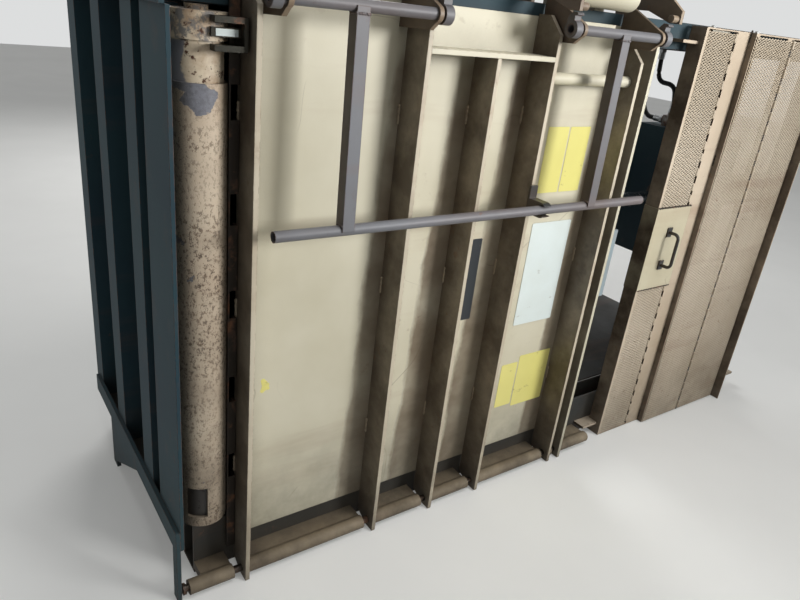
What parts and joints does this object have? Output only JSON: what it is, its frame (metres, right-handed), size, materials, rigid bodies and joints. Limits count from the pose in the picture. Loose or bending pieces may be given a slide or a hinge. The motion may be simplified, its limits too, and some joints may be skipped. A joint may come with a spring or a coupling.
{
  "type": "recycling baler",
  "caption": "Vertical recycling baler lying on its right side, with a hinged lower door, a lock lever, a sliding mesh gate, a press platen and a bale ejector.",
  "frame": {"origin": "under the middle of the whole machine, at the level of the right-hand side that it lies on", "axes": "+X is the machine's own upward direction, from its base to its cylinder; -Y is its front, with the door and the gate; +Z is its left side, which is up while it lies on its right side"},
  "size_m": [3.582, 1.355, 1.679],
  "materials": {
    "teal_paint": "worn dark blue-green paint",
    "inner_paint": "scraped blue-grey paint of the chamber",
    "cream_paint": "cream paint with rust streaks and dirt",
    "shade_paint": "dusty beige paint",
    "lever_paint": "grey-blue paint rubbed at the edges",
    "mesh_paint": "pale beige paint over expanded mesh",
    "tube_paint": "cream paint speckled with rust",
    "black_paint": "black enamel",
    "worn_steel": "bare and rusty steel",
    "rod_chrome": "polished",
    "slide_plastic": "off-white guide plastic",
    "hose_rubber": "matt black"
  },
  "bodies": {
    "frame": {"base_beams": "teal_paint", "floor_plate": "inner_paint", "foot_plates": "teal_paint", "front_sill": "teal_paint", "side_wall_right": "inner_paint", "side_wall_left": "teal_paint", "rear_wall": "teal_paint", "post_right_front": "teal_paint", "post_right_rear": "teal_paint", "post_left_front": "teal_paint", "post_left_rear": "teal_paint", "side_stiffeners": "teal_paint", "rear_stiffeners": "teal_paint", "strap_bar": "inner_paint", "sill_sleeve": "tube_paint", "hinge_barrels": "tube_paint", "hinge_pin": "worn_steel", "keeper_lugs": "cream_paint", "keeper_tube": "cream_paint", "gate_rails": "shade_paint", "head_beam": "teal_paint", "cylinder": "black_paint", "oil_tank": "teal_paint", "pump": "black_paint", "motor": "lever_paint", "valve_block": "worn_steel", "hoses": "hose_rubber"},
    "door": {"door_skin": "cream_paint", "door_rib_1": "cream_paint", "door_rib_2": "cream_paint", "door_rib_3": "cream_paint", "door_rib_4": "cream_paint", "door_rib_5": "cream_paint", "door_edge_plate": "cream_paint", "door_shelf": "cream_paint", "door_cross_pipe": "cream_paint", "bearing_plates": "cream_paint", "door_end_bar": "cream_paint", "door_edge_strip": "lever_paint", "bar_keeper": "black_paint"},
    "lever": {"lock_shaft_lower": "lever_paint", "lock_shaft_upper": "lever_paint", "lever_arms": "lever_paint", "grip_bar": "lever_paint", "lock_cams": "lever_paint"},
    "gate": {"gate_lower_frame": "mesh_paint", "gate_upper_frame": "mesh_paint", "gate_mesh_lower": "mesh_paint", "gate_mesh_middle": "mesh_paint", "gate_mesh_upper": "mesh_paint", "gate_handle_plate": "cream_paint", "gate_handle": "black_paint", "gate_shoes": "slide_plastic"},
    "press": {"platen": "inner_paint", "platen_ribs": "inner_paint", "platen_shoes": "slide_plastic", "piston_rod": "rod_chrome"},
    "ejector": {"ejector_shaft": "tube_paint", "ejector_clevis": "worn_steel", "ejector_plate": "inner_paint"}
  },
  "joints": [
    {"name": "door_hinge", "type": "hinge", "parent": "frame", "child": "door", "pos_m": [-0.979, -0.5725, 0.028], "axis": [1, 0, 0], "range_deg": [0, 135]},
    {"name": "lever_turn", "type": "hinge", "parent": "door", "child": "lever", "pos_m": [-0.979, -0.6485, 1.538], "axis": [-1, 0, 0], "range_deg": [0, 150]},
    {"name": "gate_slide", "type": "slide", "parent": "frame", "child": "gate", "axis": [1, 0, 0], "range_m": [-0.085, 0.28]},
    {"name": "platen_slide", "type": "slide", "parent": "frame", "child": "press", "axis": [1, 0, 0], "range_m": [-0.075, 0.925]},
    {"name": "ejector_turn", "type": "hinge", "parent": "frame", "child": "ejector", "pos_m": [-1.687, -0.4865, 0.8395], "axis": [0, 0, -1], "range_deg": [0, 55]}
  ]
}
